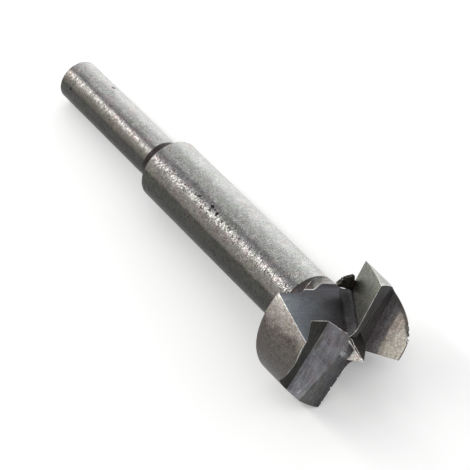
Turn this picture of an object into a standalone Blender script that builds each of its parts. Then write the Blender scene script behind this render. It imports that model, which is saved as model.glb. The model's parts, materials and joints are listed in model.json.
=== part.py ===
"""A 25 mm forstner bit with a stepped shank, lying on a bench as it comes to rest."""

from math import cos, pi, radians, sin, tan

import bmesh
import bpy
from mathutils import Matrix, Vector

# Sizes in metres. The bit is modelled upright: its axis is Z, the lips lie at Z = 0
# and the brad points up. X runs out along one lip and Y points the way that lip cuts.
# At the end it is laid down on the three points that it rests on.

overall_length = 0.0900
brad_height = 0.0043           # tip of the brad above the lips

shank_diameter = 0.0080        # the part that the chuck grips
shank_length = 0.0290
shank_chamfer = 0.0003
body_diameter = 0.0120
step_height = 0.0020           # cone between shank and body
neck_radius = 0.00275          # fillet where the body meets the head

head_diameter = 0.0250
head_height = 0.0093           # back of the head to the lips
rim_rise = 0.0013              # heel of each wing stands this far ahead of the lips

lip_lead = 0.00025             # the near lip lies this far ahead of the centre line
far_lip_lead = 0.0015          # the far lip was ground back less, at the web
far_lip_sweep = radians(5.4)   # and runs back toward the rim
hook_angle = radians(28.0)     # rake wall under the lip
web_half = 0.0021              # half the web between the two windows, at the lips
web_draft = radians(14.0)      # the web thickens toward the shank
web_skew = radians(2.0)        # its flanks are turned a little from square to the lips
window_depth = 0.0122          # lips to the closed end of a window
window_radius = 0.0020         # inside corners of a window

relief_angle = radians(13.0)   # land behind the lip
land_least = 0.0012            # its width beside the brad
land_inner = 0.0004            # farther out, its width follows a line from the centre
land_spread = 0.30             # that widens by this much
groove_depth = 0.0033          # chip groove behind the land
groove_start = 0.0042          # near foot of the groove, at the centre
groove_spread = 0.10
groove_end = 0.0083            # far foot of the groove
heel_angle = radians(48.0)     # slope from the groove up to the rim

brad_front = 0.00095           # cheek of the brad on the side of the near window
brad_back = 0.0032
brad_inset = 0.0002            # its sides stand in from the web's flanks
brad_facets = (                # ground by hand through the tip: facing, half angle
    (radians(95.0), radians(22.0)),
    (radians(45.0), radians(31.0)),
    (radians(-14.0), radians(23.5)),
    (radians(-80.0), radians(43.0)),
    (radians(190.0), radians(26.0)),
)

flake_thickness = 0.0006       # torn piece of flange left on the rake wall of one window
flake_back = 0.0094            # back of the flake to the lips
flake_outline = (              # from the axis, and out from the rake wall
    (0.0056, -0.0006),
    (0.0060, 0.0014),
    (0.0063, 0.0037),
    (0.0067, 0.0043),
    (0.0079, 0.0035),
    (0.0083, 0.0026),
    (0.0087, 0.0013),
    (0.0079, 0.0008),
    (0.0072, -0.0006),
)

window_middle = radians(40.0)  # round from its wing's lip
under_spread = radians(45.0)   # the bit comes to rest within this of a window's middle

steel_colour = (0.42, 0.41, 0.40)
steel_roughness = 0.35

turn_steps = 96
groove_steps = 8
corner_steps = 5
smooth_angle = radians(30.0)
past = 0.0030                  # how far a cutter runs past what it cuts
overlap = 0.00005              # joined shapes run this far into each other
tiny = 0.000005                # points nearer than this are one

head_radius = head_diameter / 2
body_radius = body_diameter / 2
shank_radius = shank_diameter / 2
end_z = brad_height - overall_length
step_z = end_z + shank_length


def clear_scene():
    for thing in list(bpy.data.objects):
        bpy.data.objects.remove(thing, do_unlink=True)


def new_collection(name):
    collection = bpy.data.collections.new(name)
    bpy.context.scene.collection.children.link(collection)
    return collection


def steel(name, colour, roughness):
    material = bpy.data.materials.new(name)
    material.use_nodes = True
    shader = material.node_tree.nodes["Principled BSDF"]
    shader.inputs["Base Color"].default_value = (*colour, 1.0)
    shader.inputs["Roughness"].default_value = roughness
    shader.inputs["Metallic"].default_value = 1.0
    return material


def add_object(name, mesh, collection):
    thing = bpy.data.objects.new(name, mesh)
    collection.objects.link(thing)
    return thing


def add_cutter(name, bm, collection):
    bmesh.ops.recalc_face_normals(bm, faces=bm.faces)
    mesh = bpy.data.meshes.new(name)
    bm.to_mesh(mesh)
    bm.free()
    return add_object(name, mesh, collection)


def arc(centre, radius, start, end):
    """Points of a round stretch in the profile plane, both ends included."""
    points = []
    for i in range(corner_steps + 1):
        angle = start + (end - start) * i / corner_steps
        points.append((centre[0] + radius * cos(angle), centre[1] + radius * sin(angle)))
    return points


def blank_profile():
    """Radius and height of the turned blank, from the front face down to the shank's end."""
    back_z = -head_height
    neck = arc((body_radius + neck_radius, back_z - neck_radius), neck_radius, pi / 2, pi)
    return [
        (0.0, rim_rise),
        (head_radius, rim_rise),
        (head_radius, back_z),
        *neck,
        (body_radius, step_z + step_height),
        (shank_radius, step_z),
        (shank_radius, end_z + shank_chamfer),
        (shank_radius - shank_chamfer, end_z),
        (0.0, end_z),
    ]


def turned_blank(collection):
    mesh = bpy.data.meshes.new("forstner_bit")
    points = [(radius, 0.0, z) for radius, z in blank_profile()]
    edges = [(i, i + 1) for i in range(len(points) - 1)]
    mesh.from_pydata(points, edges, [])
    blank = add_object("forstner_bit", mesh, collection)
    turn = blank.modifiers.new("turn", "SCREW")
    turn.steps = turn_steps
    turn.render_steps = turn_steps
    turn.use_merge_vertices = True
    turn.merge_threshold = 0.00001
    return blank


def block(low, high):
    """A box between two corners."""
    bm = bmesh.new()
    bmesh.ops.create_cube(bm, size=1.0)
    for vert in bm.verts:
        vert.co = [low[i] + (vert.co[i] + 0.5) * (high[i] - low[i]) for i in range(3)]
    return bm


def flank_x(z):
    """Where the web's flank lies at this height: it thickens toward the shank."""
    return web_half - z * tan(web_draft)


def window_cutter(name, lead, sweep, collection):
    """A chip window: a block with rounded inside corners, leaned to the rake and the web."""
    low = Vector((0.0, 0.0, -window_depth))
    high = Vector((2 * head_radius, 2 * head_radius, rim_rise + past))
    bm = block(low, high)
    corners = []
    for edge in bm.edges:
        on_web = all(abs(vert.co.x - low.x) < overlap for vert in edge.verts)
        at_rake = all(abs(vert.co.y - low.y) < overlap for vert in edge.verts)
        at_end = all(abs(vert.co.z - low.z) < overlap for vert in edge.verts)
        if on_web and (at_rake or at_end):
            corners.append(edge)
    bmesh.ops.bevel(bm, geom=corners, offset=window_radius, segments=corner_steps,
                    profile=0.5, affect="EDGES")
    for vert in bm.verts:
        vert.co.y += lead - vert.co.x * tan(sweep) + vert.co.z * tan(hook_angle)
        vert.co.x += flank_x(vert.co.z) - vert.co.y * tan(web_skew)
    return add_cutter(name, bm, collection)


def groove_section(x):
    """What is ground away above a wing, in Y and Z, at this distance out."""
    top = rim_rise + past
    land = max(land_least, land_inner + land_spread * x)
    foot = groove_start + groove_spread * x
    heel = groove_end + (top + groove_depth) / tan(heel_angle)
    return [
        (lip_lead + past, past * tan(relief_angle)),
        (lip_lead - land, -land * tan(relief_angle)),
        (lip_lead - foot, -groove_depth),
        (lip_lead - groove_end, -groove_depth),
        (lip_lead - heel, top),
        (lip_lead + past, top),
    ]


def groove_cutter(collection):
    """Land, groove and heel of one wing: a loft from the web's far flank to past the rim."""
    bm = bmesh.new()
    inner = groove_section(0.0)
    rings = [[bm.verts.new((-flank_x(min(z, 0.0)) - overlap, y, z)) for y, z in inner]]
    for i in range(groove_steps + 1):
        x = (head_radius + overlap) * i / groove_steps
        rings.append([bm.verts.new((x, y, z)) for y, z in groove_section(x)])
    for first, second in zip(rings, rings[1:]):
        for i in range(len(first)):
            j = (i + 1) % len(first)
            bm.faces.new((first[i], first[j], second[j], second[i]))
    bm.faces.new(reversed(rings[0]))
    bm.faces.new(rings[-1])
    bmesh.ops.triangulate(bm, faces=bm.faces)
    return add_cutter("near_groove", bm, collection)


def cut_flat(bm, point, facing, lean):
    """Grind a flat through a point, facing this way round and leaned up by this much."""
    normal = Vector((cos(facing) * cos(lean), sin(facing) * cos(lean), sin(lean)))
    geom = [*bm.verts, *bm.edges, *bm.faces]
    bmesh.ops.bisect_plane(bm, geom=geom, dist=tiny, plane_co=point, plane_no=normal,
                           clear_outer=True)
    bmesh.ops.holes_fill(bm, edges=bm.edges, sides=0)


def brad_point(collection):
    """The centre point: a block as wide as the web, with uneven facets ground to a tip."""
    side = web_half - brad_inset
    low = Vector((-side, -brad_back, -groove_depth - brad_inset))
    high = Vector((side, brad_front, brad_height + past))
    bm = block(low, high)
    tip = Vector((0.0, 0.0, brad_height))
    for facing, lean in brad_facets:
        cut_flat(bm, tip, facing, lean)
    bmesh.ops.remove_doubles(bm, verts=bm.verts, dist=tiny)
    return add_cutter("brad_point", bm, collection)


def torn_flake(collection):
    """The ragged piece of flange that was left standing at the back of one window."""
    wall_y = lip_lead - flake_back * tan(hook_angle)
    bm = bmesh.new()
    corners = [bm.verts.new((reach, wall_y + out, -flake_back)) for reach, out in flake_outline]
    raised = bmesh.ops.extrude_face_region(bm, geom=[bm.faces.new(corners)])
    moved = [item for item in raised["geom"] if isinstance(item, bmesh.types.BMVert)]
    bmesh.ops.translate(bm, verts=moved, vec=(0.0, 0.0, flake_thickness))
    return add_cutter("torn_flake", bm, collection)


def apply_to(blank, tool, operation):
    tool.hide_render = True
    tool.display_type = "WIRE"
    tool.parent = blank
    boolean = blank.modifiers.new(tool.name, "BOOLEAN")
    boolean.operation = operation
    boolean.solver = "EXACT"
    boolean.object = tool


def resting_place(mesh):
    """The turn and shift that lay the bit on the hull face under its far window."""
    bm = bmesh.new()
    bm.from_mesh(mesh)
    hull = bmesh.ops.convex_hull(bm, input=bm.verts)
    under = -Vector((cos(window_middle), sin(window_middle), 0.0))
    faces = [item for item in hull["geom"] if isinstance(item, bmesh.types.BMFace)]
    below = [face for face in faces if face.normal.dot(under) > cos(under_spread)]
    down = max(below, key=lambda face: face.calc_area()).normal.copy()
    bm.free()
    along = Vector((0.0, 0.0, 1.0))
    along = (along - down * along.dot(down)).normalized()
    turn = Matrix((along, down.cross(along) * -1, -down)).to_4x4()
    spots = [turn @ vert.co for vert in mesh.vertices]
    low = Vector([min(spot[i] for spot in spots) for i in range(3)])
    high = Vector([max(spot[i] for spot in spots) for i in range(3)])
    return Matrix.Translation((-(low.x + high.x) / 2, -(low.y + high.y) / 2, -low.z)) @ turn


def finish(bit):
    """Take the cut mesh as the bit's own, shade its round faces smooth and lay it down."""
    evaluated = bit.evaluated_get(bpy.context.evaluated_depsgraph_get())
    mesh = bpy.data.meshes.new_from_object(evaluated)
    mesh.shade_smooth()
    mesh.set_sharp_from_angle(angle=smooth_angle)
    bit.modifiers.clear()
    bit.data = mesh
    bit.matrix_world = resting_place(mesh)
    mesh.materials.clear()
    mesh.materials.append(steel("worn_steel", steel_colour, steel_roughness))


def main():
    clear_scene()
    parts = new_collection("forstner_bit")
    tools = new_collection("cutters")
    bit = turned_blank(parts)
    near_window = window_cutter("near_window", lip_lead, 0.0, tools)
    far_window = window_cutter("far_window", far_lip_lead, far_lip_sweep, tools)
    near_groove = groove_cutter(tools)
    far_groove = add_object("far_groove", near_groove.data, tools)
    for tool in (far_window, far_groove):
        tool.rotation_euler.z = pi
    for tool in (near_window, far_window, near_groove, far_groove):
        apply_to(bit, tool, "DIFFERENCE")
    for piece in (brad_point(tools), torn_flake(tools)):
        apply_to(bit, piece, "UNION")
    finish(bit)


main()
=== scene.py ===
import json
import math

import bmesh
import bpy
from mathutils import Matrix, Vector


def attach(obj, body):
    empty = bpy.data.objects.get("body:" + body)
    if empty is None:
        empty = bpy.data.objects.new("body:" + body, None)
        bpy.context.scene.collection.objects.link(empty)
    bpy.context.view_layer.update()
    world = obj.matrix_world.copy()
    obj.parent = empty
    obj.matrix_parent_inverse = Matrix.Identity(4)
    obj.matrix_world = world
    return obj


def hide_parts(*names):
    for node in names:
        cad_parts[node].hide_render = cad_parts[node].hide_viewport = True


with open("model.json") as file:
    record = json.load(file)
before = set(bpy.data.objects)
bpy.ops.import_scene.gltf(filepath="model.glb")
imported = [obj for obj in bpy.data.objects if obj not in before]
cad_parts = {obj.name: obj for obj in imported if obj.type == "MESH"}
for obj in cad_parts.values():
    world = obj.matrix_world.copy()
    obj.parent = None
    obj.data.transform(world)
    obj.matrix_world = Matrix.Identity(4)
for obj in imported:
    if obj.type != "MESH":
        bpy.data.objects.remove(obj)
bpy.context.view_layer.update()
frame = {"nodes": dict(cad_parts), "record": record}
print("frame loaded")

# The bit's own upright frame: Z runs up its axis from the shank to the cutting head, the lips
# lie at Z = 0, X runs out along the near lip and Y points the way that lip cuts. Places, sizes
# and patterns on the bit are in millimetres in this frame.
placing = {
    "lipsFromEnd": 0.0857,      # metres along the axis, from the shank's end to the lips
    "nearLipTurn": 56.06,       # degrees that the near lip stands above the bench
    "unit": 0.001,              # one millimetre, in metres
}


def axesAt(place, side, back):
    made = Matrix((side, back.cross(side), back)).transposed().to_4x4()
    made.translation = place
    return made


def bitMatrix():
    mount = frame["record"]["mounts"][0]
    along = -Vector(mount["axis"]).normalized()
    lips = Vector(mount["pos_m"]) + along * placing["lipsFromEnd"]
    level = Vector((0.0, 1.0, 0.0))
    turn = math.radians(placing["nearLipTurn"])
    return axesAt(lips, level * math.cos(turn) + along.cross(level) * math.sin(turn), along)


bitToWorld = bitMatrix()
worldToBit = bitToWorld.inverted()


def onBit(spot):
    return (worldToBit @ spot) / placing["unit"]


# Shader maths is written as expressions on wires.
class Wire:
    def __init__(self, paint, socket):
        self.paint = paint
        self.socket = socket

    def __add__(self, other):
        return self.paint.maths("ADD", self, other)

    def __sub__(self, other):
        return self.paint.maths("SUBTRACT", self, other)

    def __rsub__(self, other):
        return self.paint.maths("SUBTRACT", other, self)

    def __mul__(self, other):
        return self.paint.maths("MULTIPLY", self, other)

    def __abs__(self):
        return self.paint.maths("ABSOLUTE", self, 0.0)

    __radd__ = __add__
    __rmul__ = __mul__


# A material, or the world, and the nodes that paint it.
class Paint:
    def __init__(self, owner):
        owner.use_nodes = True
        self.owner = owner
        self.tree = owner.node_tree
        self.shader = self.tree.nodes.get("Principled BSDF")

    def node(self, kind, settings=None, sockets=None):
        made = self.tree.nodes.new(kind)
        for name, value in (settings or {}).items():
            if name == "stops":
                self.setStops(made.color_ramp, value)
            else:
                setattr(made, name, value)
        self.feed(made, sockets or {})
        return made

    def feed(self, node, sockets):
        for name, value in sockets.items():
            if isinstance(value, Wire):
                self.tree.links.new(value.socket, node.inputs[name])
            else:
                node.inputs[name].default_value = value

    def setStops(self, ramp, stops):
        while len(ramp.elements) < len(stops):
            ramp.elements.new(1.0)
        for element, (place, shown) in zip(ramp.elements, stops):
            element.position = place
            element.color = colour(shown)

    def wire(self, node, output=0):
        return Wire(self, node.outputs[output])

    def maths(self, operation, first, second):
        return self.wire(self.node("ShaderNodeMath", {"operation": operation}, {0: first, 1: second}))

    # The Mix node's colour sockets share their names with others, so they go by number.
    def mix(self, amount, first, second, blend="MIX"):
        made = self.node("ShaderNodeMix", {"data_type": "RGBA", "blend_type": blend},
                         {0: amount, 6: first, 7: second})
        return self.wire(made, 2)

    def ramp(self, value, stops):
        return self.wire(self.node("ShaderNodeValToRGB", {"stops": stops}, {"Fac": value}), "Color")

    def step(self, value, low, high):
        made = self.node("ShaderNodeMapRange", {"interpolation_type": "SMOOTHSTEP"},
                         {"Value": value, "From Min": low, "From Max": high})
        return self.wire(made, "Result")

    def stretch(self, where, scale):
        return self.wire(self.node("ShaderNodeMapping", None, {"Vector": where, "Scale": scale}))

    def noise(self, where, scale, detail, rough):
        made = self.node("ShaderNodeTexNoise", None,
                         {"Vector": where, "Scale": scale, "Detail": detail, "Roughness": rough})
        return self.wire(made, "Fac")

    def along(self, where, direction):
        made = self.node("ShaderNodeVectorMath", {"operation": "DOT_PRODUCT"}, {0: where, 1: direction})
        return self.wire(made, "Value")

    def away(self, where, point):
        made = self.node("ShaderNodeVectorMath", {"operation": "DISTANCE"}, {0: where, 1: point})
        return self.wire(made, "Value")

    def place(self):
        spot = self.wire(self.node("ShaderNodeTexCoord"), "Object")
        made = self.node("ShaderNodeMapping", {"vector_type": "TEXTURE"}, {
            "Vector": spot,
            "Location": bitToWorld.translation,
            "Rotation": bitToWorld.to_euler(),
            "Scale": (placing["unit"],) * 3,
        })
        return self.wire(made)


def colour(text):
    values = [int(text[i:i + 2], 16) / 255 for i in (0, 2, 4)]
    linear = [v / 12.92 if v <= 0.04045 else ((v + 0.055) / 1.055) ** 2.4 for v in values]
    return (*linear, 1.0)


# Sizes of the bit that its finishes follow and that part one region from the next.
bitSizes = {
    "shankRadius": 4.0, "bodyRadius": 6.0, "neckRadius": 8.75, "headRadius": 12.5,
    "stepStart": -56.7, "stepEnd": -54.7, "neckEnd": -12.05,
    "windowCorner": -9.9, "headBack": -9.3, "backEdge": -8.5,
    "flakeX": (5.5, 8.8), "flakeY": (-5.6, -0.2), "flakeZ": (-9.45, -8.75),
    "bradX": (-1.95, 1.95), "bradY": (-3.25, 0.97), "bradFoot": 0.05,
    # The brad's facets facing within these turns are painted dark: painted shade.
    "bradPaintedShadeTurn": (-120.0, 70.0),        # degrees round the axis that its dark sides face
    "slack": 0.1,
}

# Round faces carry bands that run across this turn, in degrees round the axis, from -1 to 1 over
# the width of the face: a stain on one flank and painted reflections, darker there, brighter on the
# other.
stainAndSheenTurn = -26.9


def stainAndSheenBands(radius):
    turn = math.radians(stainAndSheenTurn)
    return (math.cos(turn) / radius, math.sin(turn) / radius, 0.0)


# What all the faces have, unless their own finish says otherwise.
plainSteel = {
    "grain": (1.0, 1.0, 1.0), "shift": 0.0, "bump": 0.00003,
    "stainsAndPaintedLight": (), "scratches": (), "pits": (),
}

turnedSteel = {"rough": 0.26, "grain": (0.5, 0.5, 1.4)}

# A window's floor runs from dark by the root under the lip, painted shade in that corner, to the
# lighter blue-grey at the rim.
floorSteel = {
    "rough": 0.42, "bump": 0.00002, "speck": 0.45, "grain": (1.0, 0.4, 1.0), "wander": 0.08,
    "stops": ((0.0, "2e2b2c"), (0.05, "383537"), (0.13, "434145"), (0.17, "48474c"),
              (0.40, "424347"), (0.55, "44474b"), (0.72, "52565c"), (1.0, "6d7278")),
}
# Painted shade: the floor darkens deeper in the window, towards its closed end.
floorPaintedShade = {"along": (0.0, 0.0, -1.0), "from": 7.6, "to": 9.4, "wander": 0.6,
              "colour": "3e3d42", "amount": 0.7}

# The rake is painted lighter towards the axis, a painted lift where it lies in shade.
rakeSteel = {
    "shift": -1.16, "rough": 0.36, "bump": 0.00004, "speck": 0.95, "grain": (0.4, 1.0, 1.0),
    "wander": 0.3,
    "stops": ((0.0, "c4c5bb"), (0.35, "a0a198"), (0.6, "8c8d85"), (1.0, "8f9089")),
}

# The near wing's land, slope and groove are painted dark: their own stain and painted shade.
nearWing = {
    "along": (0.1, 0.0, 0.0), "shift": -0.7, "rough": 0.42, "bump": 0.00004, "speck": 0.5,
    "streak": 0.9, "grain": (0.2, 1.0, 1.0), "wander": 0.3,
}

heelSteel = {"rough": 0.38, "speck": 0.8, "grain": (0.22, 1.0, 1.0)}

# Every face of the bit belongs to a region with a finish of its own. Its tone runs through the
# stops as the place times "along", plus "shift", runs from -1 to 1. "wander" bends those bands,
# "grain" stretches the streaks, a "bump" is in metres, and a "glint", a painted sparkle on a
# painted highlight line, has its middle among the stops and its strength. A stain, a painted
# shade or a painted highlight begins past "from" along its own direction and is full at "to"; its
# "bend" lifts that edge between two places on Y. A scratch has its middle, half its length, half
# its width, the direction across it and its shade. A pit has its place and its radius.
finishes = {
    "shank": {
        **turnedSteel,
        "along": stainAndSheenBands(bitSizes["shankRadius"]), "bump": 0.00010, "speck": 0.75,
        "wander": 0.06, "glint": (0.47, 1.6),
        # Painted reflections over a stain: a dark flank, a highlight line near 0.48, a dark reflection
        # line near 0.565 and a light flank.
        "stops": ((0.0, "1f1f1e"), (0.10, "373735"), (0.15, "464643"), (0.23, "464541"),
                  (0.28, "625f58"), (0.36, "6b6863"), (0.41, "7a7773"), (0.48, "a29f9c"),
                  (0.52, "8f8d8b"), (0.565, "5f5c60"), (0.605, "656364"), (0.66, "888787"),
                  (0.70, "9e9e9e"), (0.82, "a3a3a3"), (0.90, "b5b5b5"), (1.0, "c8c8c7")),
        # Painted shade: the shank is darkened beside the step.
        "stainsAndPaintedLight": (
            {"along": (0.0, 0.0, 1.0), "from": -57.72, "to": -57.52, "wander": 0.3,
             "colour": "211b1c", "amount": 0.95},
        ),
        "pits": ((3.98, 0.25, -76.18, 0.42), (-0.47, 3.97, -82.24, 0.35)),
    },
    # The step cone is painted dark: painted shade between shank and body.
    "step": {
        "along": stainAndSheenBands(bitSizes["bodyRadius"]), "rough": 0.50, "speck": 0.5, "wander": 0.1,
        "stops": ((0.0, "1f1a1b"), (0.5, "2a2324"), (1.0, "3a3434")),
    },
    "body": {
        **turnedSteel,
        "along": stainAndSheenBands(bitSizes["bodyRadius"]), "bump": 0.00011, "speck": 0.85,
        "wander": 0.05, "glint": (0.47, 2.0),
        # Painted reflections over a stain: a dark flank, a highlight line near 0.46, a dark reflection
        # line near 0.58 and a light flank.
        "stops": ((0.0, "1f201e"), (0.10, "3a3b38"), (0.15, "464742"), (0.235, "4a4945"),
                  (0.275, "716d68"), (0.39, "767370"), (0.44, "989592"), (0.48, "a19f9d"),
                  (0.52, "797778"), (0.56, "605f61"), (0.605, "606061"), (0.65, "868685"),
                  (0.72, "949593"), (0.80, "9c9d9c"), (0.88, "b2b3b2"), (1.0, "cdcecd")),
        "stainsAndPaintedLight": (
            {"along": (0.0, 0.0, 1.0), "from": -12.42, "to": -12.26, "wander": 0.2,
             "colour": "2a2627", "amount": 0.95},
        ),
        "pits": ((3.41, 4.94, -37.15, 0.26), (3.30, 5.01, -36.90, 0.24), (2.99, 5.20, -35.24, 0.36),
                 (2.86, 5.27, -35.30, 0.30), (3.20, 5.08, -36.19, 0.20), (2.60, 5.41, -33.20, 0.18),
                 (3.00, 5.20, -41.0, 0.24), (3.12, 5.12, -40.6, 0.20), (2.30, 5.54, -44.6, 0.22),
                 (2.75, 5.33, -38.6, 0.18), (2.2, 5.58, -29.4, 0.18)),
        "scratches": (
            ((2.96, 5.18, -37.15), 0.85, 0.16, (-0.55, 0.32, -0.78), "0c0b0a"),
            ((2.89, 5.24, -35.30), 0.50, 0.22, (-0.07, 0.04, -1.0), "0c0b0a"),
            ((2.90, 5.25, -41.02), 1.15, 0.12, (-0.86, 0.50, 0.13), "2a2724"),
            ((1.90, 5.69, -38.70), 0.40, 0.16, (-0.94, 0.32, 0.08), "1d1b19"),
            ((5.88, 1.14, -35.89), 0.40, 0.10, (-0.15, 0.78, 0.61), "ededed"),
            ((5.04, 3.23, -31.96), 0.40, 0.08, (-0.16, 0.25, 0.96), "c8cacc"),
            ((4.24, 4.22, -31.51), 0.70, 0.07, (-0.43, 0.43, 0.80), "abaeb0"),
            ((4.48, 3.79, -16.77), 1.50, 0.06, (-0.08, 0.09, 0.99), "a2a2a0"),
            ((4.55, 3.29, -16.23), 2.20, 0.06, (0.13, -0.18, 0.98), "8d8c8a"),
        ),
    },
    # The neck's hollow fillet is dark from a stain and from painted shade.
    "neck": {
        "along": stainAndSheenBands(bitSizes["neckRadius"]), "rough": 0.40, "bump": 0.00004, "speck": 0.8,
        "wander": 0.15,
        "stops": ((0.0, "342f2f"), (0.45, "3a3535"), (0.78, "413d3c"), (0.93, "555150"),
                  (1.0, "9c9997")),
    },
    # The window's closed end is painted near white, a painted reflection in its rounded corner; a
    # painted light line runs round it, with the floor's darker tone past that.
    "lens": {
        "along": (0.0, -0.2, 0.0), "rough": 0.34, "speck": 0.6, "wander": 0.04,
        "stops": ((0.0, "4a4241"), (0.22, "544d4c"), (0.30, "949393"), (0.42, "b0afaf"),
                  (0.52, "eeeeed"), (0.75, "f6f6f5"), (1.0, "d0d0cf")),
        "stainsAndPaintedLight": (
            {"along": (0.0, 0.0, 1.0), "bend": (0.1, 3.4, -1.15), "from": -11.38, "to": -11.32,
             "wander": 0.1, "colour": "c9c4c4", "amount": 1.0},
            {"along": (0.0, 0.0, 1.0), "bend": (0.1, 3.4, -1.15), "from": -11.24, "to": -11.18,
             "wander": 0.1, "colour": "48474c", "amount": 1.0},
        ),
    },
    "back": {
        "along": stainAndSheenBands(bitSizes["headRadius"]), "rough": 0.36, "speck": 0.9, "wander": 0.3,
        "stops": ((0.0, "5c5855"), (0.35, "8a8580"), (1.0, "b0ada9")),
    },
    "wall": {
        "along": stainAndSheenBands(bitSizes["headRadius"]), "rough": 0.34, "bump": 0.00004, "speck": 0.85,
        "grain": (1.0, 1.0, 0.5), "wander": 0.16,
        "stops": ((0.0, "4f4c4b"), (0.12, "5a5654"), (0.225, "605b57"), (0.29, "908883"),
                  (0.42, "aba6a1"), (0.60, "8f8d8b"), (0.80, "acacaa"), (1.0, "b6b6b4")),
    },
    "nearFloor": {
        **floorSteel,
        "along": (0.0, 0.125, -0.0665), "shift": -1.03,
        "stainsAndPaintedLight": (
            floorPaintedShade,
            # A painted light line round the window's closed end.
            {"along": (0.0, 0.0, -1.0), "bend": (0.1, 3.4, 1.15), "from": 11.18, "to": 11.24,
             "wander": 0.1, "colour": "c9c4c4", "amount": 1.0},
        ),
    },
    "farFloor": {
        **floorSteel,
        "along": (0.0, -0.125, -0.0665), "shift": -1.19, "stainsAndPaintedLight": (floorPaintedShade,),
    },
    # The root is painted dark: painted shade in the corner under the lip.
    "root": {
        "along": (0.1, 0.1, 0.1), "rough": 0.48, "bump": 0.00004, "speck": 1.0,
        "grain": (2.0, 2.0, 0.2), "wander": 1.0,
        "stops": ((0.0, "302f30"), (0.5, "424143"), (1.0, "585758")),
    },
    "nearRake": {**rakeSteel, "along": (0.16, 0.0, 0.0)},
    "farRake": {**rakeSteel, "along": (-0.16, 0.0, 0.0)},
    "nearLand": {
        **nearWing,
        "stops": ((0.0, "4c474a"), (0.25, "403c3e"), (0.5, "312f30"), (1.0, "2b292a")),
    },
    "nearSlope": {
        **nearWing,
        "stops": ((0.0, "8c8685"), (0.3, "746e6c"), (0.6, "555152"), (1.0, "4c4849")),
    },
    "nearGroove": {
        **nearWing, "wander": 0.4,
        "stops": ((0.0, "504c4d"), (0.35, "4b4849"), (0.55, "3d3b3c"), (1.0, "3a3839")),
    },
    "nearHeel": {
        **heelSteel,
        "along": (0.0, -0.40, 0.0), "shift": -4.2, "wander": 0.09,
        "stops": ((0.0, "464345"), (0.14, "4d4a4c"), (0.17, "565356"), (0.31, "605c5c"),
                  (0.35, "9a938c"), (0.60, "b8b1a8"), (0.85, "c2bbb1"), (1.0, "8d867f")),
        "stainsAndPaintedLight": (
            {"along": (0.5, -0.86, 0.0), "from": 11.5, "to": 12.0, "wander": 1.6,
             "colour": "4b4846", "amount": 0.85},
            {"along": (0.9, 0.0, 0.3), "from": 5.0, "to": 7.0, "wander": 3.5,
             "colour": "353230", "amount": 0.35},
        ),
    },
    "farLand": {
        "along": (0.0, 0.5, 0.0), "rough": 0.38, "bump": 0.00005, "speck": 0.55, "streak": 0.7,
        "grain": (0.2, 1.0, 1.0), "wander": 0.6,
        "stops": ((0.0, "4c4b4e"), (0.5, "575659"), (1.0, "686768")),
    },
    "farSlope": {
        "along": (0.0, 0.3, 0.0), "shift": -1.0, "rough": 0.36, "bump": 0.00004, "speck": 0.38,
        "streak": 0.9, "grain": (0.14, 1.0, 1.0), "wander": 0.7,
        "stops": ((0.0, "6d6c70"), (0.5, "79797e"), (1.0, "8b8b91")),
        "scratches": (
            ((-1.67, 4.20, -3.15), 2.40, 0.16, (0.16, 0.91, -0.38), "868780"),
            ((-1.50, 3.85, -2.85), 1.60, 0.30, (0.16, 0.91, -0.38), "66655f"),
            # These two are painted highlights along the edge between slope and land.
            ((-8.91, 3.39, -1.41), 1.40, 0.10, (-0.27, -0.57, 0.78), "88878c"),
            ((-10.60, 3.90, -1.62), 0.50, 0.16, (-0.27, -0.57, 0.78), "a9a7a4"),
        ),
    },
    "farGroove": {
        "along": (0.0, 0.3, 0.0), "rough": 0.42, "bump": 0.00004, "speck": 0.45, "streak": 0.7,
        "grain": (0.2, 1.0, 1.0), "wander": 0.8,
        "stops": ((0.0, "2d2d2b"), (0.5, "353533"), (1.0, "444442")),
    },
    "farHeel": {
        **heelSteel,
        "along": (0.0, 0.3, 0.0), "shift": -3.4, "wander": 0.3,
        "stops": ((0.0, "4c4a4a"), (0.4, "8b857e"), (1.0, "b0aaa2")),
    },
    # The brad's facets are painted by the way they face: near white on the lit side, near black on the
    # shade side. Painted light and shade.
    "bradPaintedLit": {
        "along": (0.3, 0.0, 0.0), "rough": 0.40, "bump": 0.00004, "speck": 1.05, "wander": 0.6,
        "stops": ((0.0, "d6d1ca"), (1.0, "fbf7f1")),
    },
    "bradPaintedDark": {
        "along": (0.3, 0.0, 0.0), "rough": 0.42, "speck": 0.9, "wander": 0.6,
        "stops": ((0.0, "1d1b1a"), (1.0, "302d2b")),
    },
    "bradCheek": {
        "along": (0.4, 0.0, 0.0), "rough": 0.40, "speck": 0.9, "wander": 0.4,
        "stops": ((0.0, "a2a6ac"), (0.5, "787778"), (1.0, "716d6e")),
        # A painted highlight: a light sliver along the cheek's edge.
        "scratches": (((1.12, 0.95, 1.10), 1.15, 0.20, (0.98, 0.0, 0.20), "fffaf4"),),
    },
    "flake": {
        "along": (0.0, 0.4, 0.0), "shift": 1.2, "rough": 0.50, "bump": 0.00005, "speck": 1.1,
        "wander": 0.3,
        "stops": ((0.0, "53504d"), (0.55, "55524e"), (0.75, "474440"), (1.0, "5f5b56")),
    },
    # The worn arrises are painted near white: rubbed bare steel and a painted highlight along the
    # edges.
    "edge": {
        "along": (0.2, 0.2, 0.2), "rough": 0.34, "speck": 1.1, "wander": 2.4,
        "stops": ((0.0, "4b4846"), (0.40, "8a8580"), (0.62, "d6d1cb"), (1.0, "fcf8f1")),
    },
    "chip": {
        "along": (0.2, 0.2, 0.2), "rough": 0.45, "bump": 0.00005, "speck": 1.1, "wander": 1.5,
        "stops": ((0.0, "2a2625"), (0.5, "4a4542"), (1.0, "8a837b")),
    },
}
regionNames = list(finishes)

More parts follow.
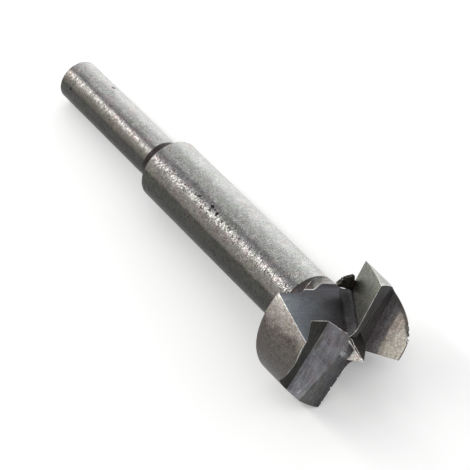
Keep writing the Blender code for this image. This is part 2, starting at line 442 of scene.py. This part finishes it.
# The patterns of the worn steel. A noise has its scale, detail and roughness, and a pair is
# where a soft step begins and ends.
steelLook = {
    "mottle": (0.45, 5.0, 0.62), "mottleGain": 0.6,
    "streak": (2.0, 5.0, 0.62), "streakGain": 1.4, "streakPolish": 0.16,
    "speck": (3.8, 4.0, 0.75), "speckGain": 3.2,
    "fleck": (0.58, 0.70), "fleckGain": 0.7,
    "glintEdge": (0.03, 0.09),
    "calm": (0.25, 0.85), "calmBy": 0.5,        # the light flank has less grain
    "level": 0.96,              # of the stops' own lightness, before the flecks are added
    "duller": 0.08,             # makes up the roughness that the streaks take off
    "tint": (0.5, 2.0, 0.5),    # the steel leans a little to rust here and to olive there
    "tintStops": ((0.36, "fff7f4"), (0.47, "ffffff"), (0.53, "ffffff"), (0.64, "fafef5")),
    "scratchWander": 0.2, "scratchCore": 0.3, "scratchTip": 0.7,
    "pitRagged": 0.15, "pitCore": 0.6, "pitColour": "0c0a0a",
}


def steelGrain(paint, look, speck, streak, across):
    grain = (speck - 0.5) * (look["speck"] * steelLook["speckGain"])
    grain = grain + (streak - 0.5) * (look.get("streak", look["speck"]) * steelLook["streakGain"])
    flecks = paint.step(speck, *steelLook["fleck"]) * (look["speck"] * steelLook["fleckGain"])
    if "glint" not in look:
        return grain + flecks
    # The glint is painted sparkle: more grain along the painted highlight line.
    middle, gain = look["glint"]
    off = abs(across * 0.5 + (0.5 - middle))
    glint = (1.0 - paint.step(off, *steelLook["glintEdge"])) * gain + 1.0
    calm = 1.0 - paint.step(across, *steelLook["calm"]) * steelLook["calmBy"]
    return (grain * glint + flecks) * calm


# Lays a stain, a painted shade or a painted highlight over the tone.
def stainAndLightTone(paint, tone, spot, wobble, stainOrLight):
    reach = paint.along(spot, stainOrLight["along"]) + wobble * stainOrLight["wander"]
    if "bend" in stainOrLight:
        low, high, lift = stainOrLight["bend"]
        reach = reach + paint.step(paint.along(spot, (0.0, 1.0, 0.0)), low, high) * lift
    amount = paint.step(reach, stainOrLight["from"], stainOrLight["to"]) * stainOrLight["amount"]
    return paint.mix(amount, tone, colour(stainOrLight["colour"]))


def scratchTone(paint, tone, spot, wobble, scratch):
    middle, halfLength, halfWidth, crosswise, shade = scratch
    off = paint.along(spot, crosswise) - Vector(middle).dot(crosswise)
    off = abs(off + wobble * steelLook["scratchWander"])
    line = 1.0 - paint.step(off, halfWidth * steelLook["scratchCore"], halfWidth)
    far = paint.away(spot, middle)
    line = line * (1.0 - paint.step(far, halfLength * steelLook["scratchTip"], halfLength))
    return paint.mix(line, tone, colour(shade))


def steelPaint(name):
    look = {**plainSteel, **finishes[name]}
    paint = Paint(bpy.data.materials.new(name))
    spot = paint.place()
    wobble = paint.noise(spot, *steelLook["mottle"]) - 0.5
    streak = paint.noise(paint.stretch(spot, look["grain"]), *steelLook["streak"])
    speck = paint.noise(spot, *steelLook["speck"])
    across = paint.along(spot, look["along"]) + look["shift"] + wobble * (look["wander"] * 2)
    grain = steelGrain(paint, look, speck, streak, across)
    light = grain + wobble * steelLook["mottleGain"] + steelLook["level"]
    tint = paint.ramp(paint.noise(spot, *steelLook["tint"]), steelLook["tintStops"])
    tone = paint.ramp(across * 0.5 + 0.5, look["stops"])
    tone = paint.mix(1.0, tone, light, "MULTIPLY")
    tone = paint.mix(1.0, tone, tint, "MULTIPLY")
    for stainOrLight in look["stainsAndPaintedLight"]:
        tone = stainAndLightTone(paint, tone, spot, wobble, stainOrLight)
    for scratch in look["scratches"]:
        tone = scratchTone(paint, tone, spot, wobble, scratch)
    height = speck + streak
    for x, y, z, radius in look["pits"]:
        far = paint.away(spot, (x, y, z)) + (speck - 0.5) * steelLook["pitRagged"]
        pit = 1.0 - paint.step(far, radius * steelLook["pitCore"], radius)
        tone = paint.mix(pit, tone, colour(steelLook["pitColour"]))
        height = height - pit
    raised = paint.node("ShaderNodeBump", None,
                        {"Strength": 1.0, "Distance": look["bump"], "Height": height})
    paint.feed(paint.shader, {
        "Base Color": tone,
        "Roughness": streak * -steelLook["streakPolish"] + (look["rough"] + steelLook["duller"]),
        "Metallic": 1.0,
        "Normal": paint.wire(raised),
    })
    return paint.owner


# How much of a face's normal lies along a way before the face counts as leaning that way.
leans = {"slight": 0.1, "part": 0.3, "most": 0.8, "straight": 0.9, "level": 0.99}


def inside(value, name):
    low, high = bitSizes[name]
    return low < value < high


def inFlake(spot):
    return inside(spot.x, "flakeX") and inside(spot.y, "flakeY") and inside(spot.z, "flakeZ")


# The neck is a fillet round a ring at neckRadius and neckEnd, and ends at the head's back.
def onNeck(centre):
    across = bitSizes["neckRadius"] - centre.xy.length
    fillet = math.hypot(across, centre.z - bitSizes["neckEnd"])
    depth = bitSizes["headBack"] - bitSizes["neckEnd"]
    return abs(fillet - depth) < bitSizes["slack"] and centre.z < bitSizes["headBack"]


def bradRegion(centre, normal):
    upright = abs(normal.z) < leans["slight"]
    if not (inside(centre.x, "bradX") and inside(centre.y, "bradY")):
        return None
    if not (upright or centre.z > bitSizes["bradFoot"]):
        return None
    if upright and normal.y > leans["straight"]:
        return "bradCheek"
    # Painted light and shade: facets facing the shade turns are painted dark, the others light.
    facing = math.degrees(math.atan2(normal.y, normal.x))
    return "bradPaintedDark" if inside(facing, "bradPaintedShadeTurn") else "bradPaintedLit"


def wingRegion(centre, normal):
    side, sign = ("near", 1.0) if centre.y < 0 else ("far", -1.0)
    if normal.z > leans["level"]:
        return side + "Groove"
    if normal.y * sign > leans["part"]:
        return side + "Heel"
    return side + ("Land" if normal.z > leans["straight"] else "Slope")


def windowRegion(centre, normal):
    beside = not inside(centre.x, "bradX")
    lean = normal.y if centre.x > 0 else -normal.y
    leaned = abs(normal.x) > leans["slight"] and lean > leans["slight"]
    if beside and leaned and normal.z < leans["part"]:
        return "root"
    if beside and abs(normal.x) > leans["most"]:
        return "nearFloor" if normal.x > 0 else "farFloor"
    if normal.z < -leans["part"] and abs(normal.y) > leans["most"]:
        return "nearRake" if normal.y > 0 else "farRake"
    return None


# Finds a face's region from its centre and normal. The tests come in this order because the
# later ones are broader.
def regionOf(centre, normal):
    outward = normal.xy.dot(centre.xy.normalized()) > leans["straight"]
    if centre.z < bitSizes["stepStart"]:
        return "back" if normal.z < -leans["straight"] else "shank"
    if centre.z < bitSizes["stepEnd"]:
        return "step"
    if outward and centre.z < bitSizes["neckEnd"]:
        return "body"
    if outward and centre.xy.length > bitSizes["headRadius"] - bitSizes["slack"]:
        return "wall"
    if inFlake(centre):
        return "flake"
    if onNeck(centre) and normal.z < leans["slight"]:
        return "neck"
    if centre.z < bitSizes["windowCorner"] and normal.z > leans["part"]:
        return "lens"
    region = windowRegion(centre, normal)
    if region is None and centre.z < bitSizes["backEdge"]:
        return "back"
    return region or bradRegion(centre, normal) or wingRegion(centre, normal)


def selectOnly(*things):
    bpy.ops.object.select_all(action="DESELECT")
    for thing in things:
        thing.select_set(True)
    bpy.context.view_layer.objects.active = things[0]


bitLook = {
    "mergeDistance": 0.000002,  # metres
    "flatAngle": 0.6,           # degrees under which facets become one face
    "edgeBevel": 0.00004,       # metres
    "edgeAngle": 32.0,          # degrees past which an outer edge is a worn arris
    "smoothAngle": 30.0,        # degrees up to which faces are shaded as one
    "faceWeight": 100,
}


def fineBit():
    print("copying the bit and giving its faces their finishes")
    piece = frame["nodes"]["forstner_bit"].copy()
    piece.data = piece.data.copy()
    piece.name = "worn_bit"
    for key in list(piece.keys()):
        del piece[key]
    piece.parent = None
    bpy.context.scene.collection.objects.link(piece)
    selectOnly(piece)
    bpy.ops.object.mode_set(mode="EDIT")
    bpy.ops.mesh.select_all(action="SELECT")
    bpy.ops.mesh.remove_doubles(threshold=bitLook["mergeDistance"])
    bpy.ops.mesh.dissolve_limited(angle_limit=math.radians(bitLook["flatAngle"]))
    bpy.ops.object.mode_set(mode="OBJECT")
    piece.data.materials.clear()
    for name in regionNames:
        piece.data.materials.append(steelPaint(name))
    turn = worldToBit.to_3x3()
    for face in piece.data.polygons:
        region = regionOf(onBit(face.center), turn @ face.normal)
        face.material_index = regionNames.index(region)
    return piece


# Small chips out of the far lip, nicks in the near wing's rim and in the torn flake, and one
# large shallow cut that rounds the near wing's trailing corner. Each is a flattened ball: its
# place, its radius and its turn in degrees.
chipLook = {
    "flatness": 0.6,
    "subdivisions": 2,
    "places": {
        "farLip": ((-2.6, -1.42, 0.36, 0.24, 20), (-3.5, -1.38, 0.32, 0.20, 60),
                   (-4.9, -1.22, 0.30, 0.23, 10), (-6.2, -1.10, 0.26, 0.22, 80),
                   (-7.0, -1.02, 0.24, 0.18, 35), (-8.3, -0.88, 0.20, 0.26, 65),
                   (-9.3, -0.80, 0.18, 0.20, 15), (-10.4, -0.66, 0.16, 0.20, 50),
                   (-11.4, -0.58, 0.12, 0.22, 25)),
        "nearRim": ((4.15, -11.74, 0.82, 0.34, 30), (3.15, -12.02, 1.10, 0.42, 75),
                    (2.40, -12.24, 1.30, 0.34, 10), (5.3, -11.30, 0.35, 0.26, 50)),
        "nearCorner": ((-2.2, -13.40, 1.4, 1.65, 0),),
        "flakeRim": ((7.15, -0.78, -9.05, 0.40, 20), (7.95, -1.50, -8.95, 0.50, 70),
                     (8.30, -2.30, -9.00, 0.38, 40), (7.60, -1.05, -9.30, 0.26, 15)),
    },
}


def chipBall(x, y, z, radius, turn):
    spot = bitToWorld @ (Vector((x, y, z)) * placing["unit"])
    bpy.ops.object.select_all(action="DESELECT")
    bpy.ops.mesh.primitive_ico_sphere_add(subdivisions=chipLook["subdivisions"],
                                          radius=radius * placing["unit"], location=spot)
    ball = bpy.context.object
    ball.scale = (1.0, 1.0, chipLook["flatness"])
    ball.rotation_euler = (math.radians(turn), math.radians(turn * 2), 0.0)
    return ball


def cutChips(piece):
    print("cutting chips")
    balls = [chipBall(*chip) for chips in chipLook["places"].values() for chip in chips]
    selectOnly(*balls)
    bpy.ops.object.join()
    cutter = bpy.context.object
    for material in piece.data.materials:
        cutter.data.materials.append(material)
    for face in cutter.data.polygons:
        face.material_index = regionNames.index("chip")
    selectOnly(piece)
    cut = piece.modifiers.new("chips", "BOOLEAN")
    cut.operation = "DIFFERENCE"
    cut.solver = "EXACT"
    cut.use_self = True
    cut.object = cutter
    bpy.ops.object.modifier_apply(modifier=cut.name)
    bpy.data.objects.remove(cutter, do_unlink=True)


def isArris(edge):
    chip = regionNames.index("chip")
    middle = (edge.verts[0].co + edge.verts[1].co) / 2
    sharp = edge.calc_face_angle(0.0) > math.radians(bitLook["edgeAngle"])
    torn = inFlake(onBit(middle)) or any(face.material_index == chip for face in edge.link_faces)
    return sharp and edge.is_convex and not torn


def bevelArrises(piece):
    print("wearing the outer edges")
    selectOnly(piece)
    bpy.ops.object.mode_set(mode="EDIT")
    bpy.ops.mesh.select_mode(type="EDGE")
    bpy.ops.mesh.select_all(action="DESELECT")
    mesh = bmesh.from_edit_mesh(piece.data)
    for edge in mesh.edges:
        edge.select_set(isArris(edge))
    bmesh.update_edit_mesh(piece.data)
    bpy.ops.mesh.bevel(offset=bitLook["edgeBevel"], segments=1, affect="EDGES",
                       clamp_overlap=False, material=regionNames.index("edge"))
    bpy.ops.object.mode_set(mode="OBJECT")
    for face in piece.data.polygons:
        if inFlake(onBit(face.center)):
            face.material_index = regionNames.index("flake")


def smoothFaces(piece):
    selectOnly(piece)
    bpy.ops.object.shade_smooth_by_angle(angle=math.radians(bitLook["smoothAngle"]))
    even = piece.modifiers.new("even", "WEIGHTED_NORMAL")
    even.keep_sharp = True
    even.weight = bitLook["faceWeight"]
    bpy.ops.object.modifier_apply(modifier=even.name)


bit = fineBit()
cutChips(bit)
bevelArrises(bit)
smoothFaces(bit)
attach(bit, "root")
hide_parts("forstner_bit")
print("bit finished:", len(bit.data.polygons), "faces")

stageLook = {
    "size": 3.0,
    "floorColour": (0.92, 0.92, 0.92, 1.0),
    "floorRough": 0.8,
    "whiteLift": 0.14,          # lifts the floor to white for the camera alone
    "worldColour": (1.0, 1.0, 1.0, 1.0),
    "worldLevel": 0.80,
    "shownLevel": 1.0,          # the world as the camera and gloss see it
}


def makeFloor():
    bpy.ops.object.select_all(action="DESELECT")
    bpy.ops.mesh.primitive_plane_add(size=stageLook["size"])
    floor = bpy.context.object
    floor.name = "floor"
    paint = Paint(bpy.data.materials.new("floor"))
    seen = paint.wire(paint.node("ShaderNodeLightPath"), "Is Camera Ray")
    paint.feed(paint.shader, {
        "Base Color": stageLook["floorColour"],
        "Roughness": stageLook["floorRough"],
        "Emission Color": seen * stageLook["whiteLift"],
        "Emission Strength": 1.0,
    })
    floor.data.materials.append(paint.owner)


def makeWorld():
    scene = bpy.context.scene
    scene.world = scene.world or bpy.data.worlds.new("world")
    paint = Paint(scene.world)
    paint.tree.nodes.clear()
    rays = paint.node("ShaderNodeLightPath")
    seen = paint.maths("MAXIMUM", paint.wire(rays, "Is Camera Ray"), paint.wire(rays, "Is Glossy Ray"))
    skies = []
    for level in (stageLook["worldLevel"], stageLook["shownLevel"]):
        sky = paint.node("ShaderNodeBackground", None,
                         {"Color": stageLook["worldColour"], "Strength": level})
        skies.append(paint.wire(sky))
    both = paint.node("ShaderNodeMixShader", None, {0: seen, 1: skies[0], 2: skies[1]})
    paint.node("ShaderNodeOutputWorld", None, {"Surface": paint.wire(both)})


# Both lamps aim at the bit, with places and sizes in metres. The strip lies along the bit and
# gives the narrow light line.
lampLook = {
    "far_softbox": {"from": (-0.40, 0.50, 0.165), "size": (0.50, 0.30), "power": 0.75,
                    "colour": (1.0, 1.0, 1.0)},
    "near_strip": {"from": (-0.332, -0.201, 0.315), "size": (0.60, 0.050), "power": 1.0,
                   "colour": (1.0, 0.985, 0.965)},
}


def addObject(name, data, axes):
    made = bpy.data.objects.new(name, data)
    bpy.context.scene.collection.objects.link(made)
    made.matrix_world = axes
    return made


def makeLamps():
    along = bitToWorld.to_3x3() @ Vector((0.0, 0.0, 1.0))
    for name, look in lampLook.items():
        lamp = bpy.data.lights.new(name, "AREA")
        lamp.shape = "RECTANGLE"
        lamp.size, lamp.size_y = look["size"]
        lamp.energy = look["power"]
        lamp.color = look["colour"]
        back = Vector(look["from"]).normalized()
        side = (along - back * along.dot(back)).normalized()
        addObject(name, lamp, axesAt(Vector(look["from"]), side, back))


# The aim and the distance are in metres, the turns in degrees and the lens in millimetres.
cameraLook = {
    "aim": (0.00587, 0.00074, 0.00646),
    "distance": 0.50818,
    "azimuth": 55.025,
    "elevation": 47.357,
    "roll": 0.900,
    "lens": 221.66,
    "clipStart": 0.01,
}


def makeCamera():
    turn = math.radians(cameraLook["azimuth"])
    rise = math.radians(cameraLook["elevation"])
    roll = math.radians(cameraLook["roll"])
    back = Vector((math.sin(turn) * math.cos(rise), -math.cos(turn) * math.cos(rise), math.sin(rise)))
    level = Vector((math.cos(turn), math.sin(turn), 0.0))
    side = level * math.cos(roll) + back.cross(level) * math.sin(roll)
    place = Vector(cameraLook["aim"]) + back * cameraLook["distance"]
    camera = bpy.data.cameras.new("camera")
    camera.lens = cameraLook["lens"]
    camera.clip_start = cameraLook["clipStart"]
    bpy.context.scene.camera = addObject("camera", camera, axesAt(place, side, back))


makeFloor()
makeWorld()
makeLamps()
makeCamera()
bpy.context.scene.view_settings.view_transform = "Standard"
print("stage, lamps and camera placed")
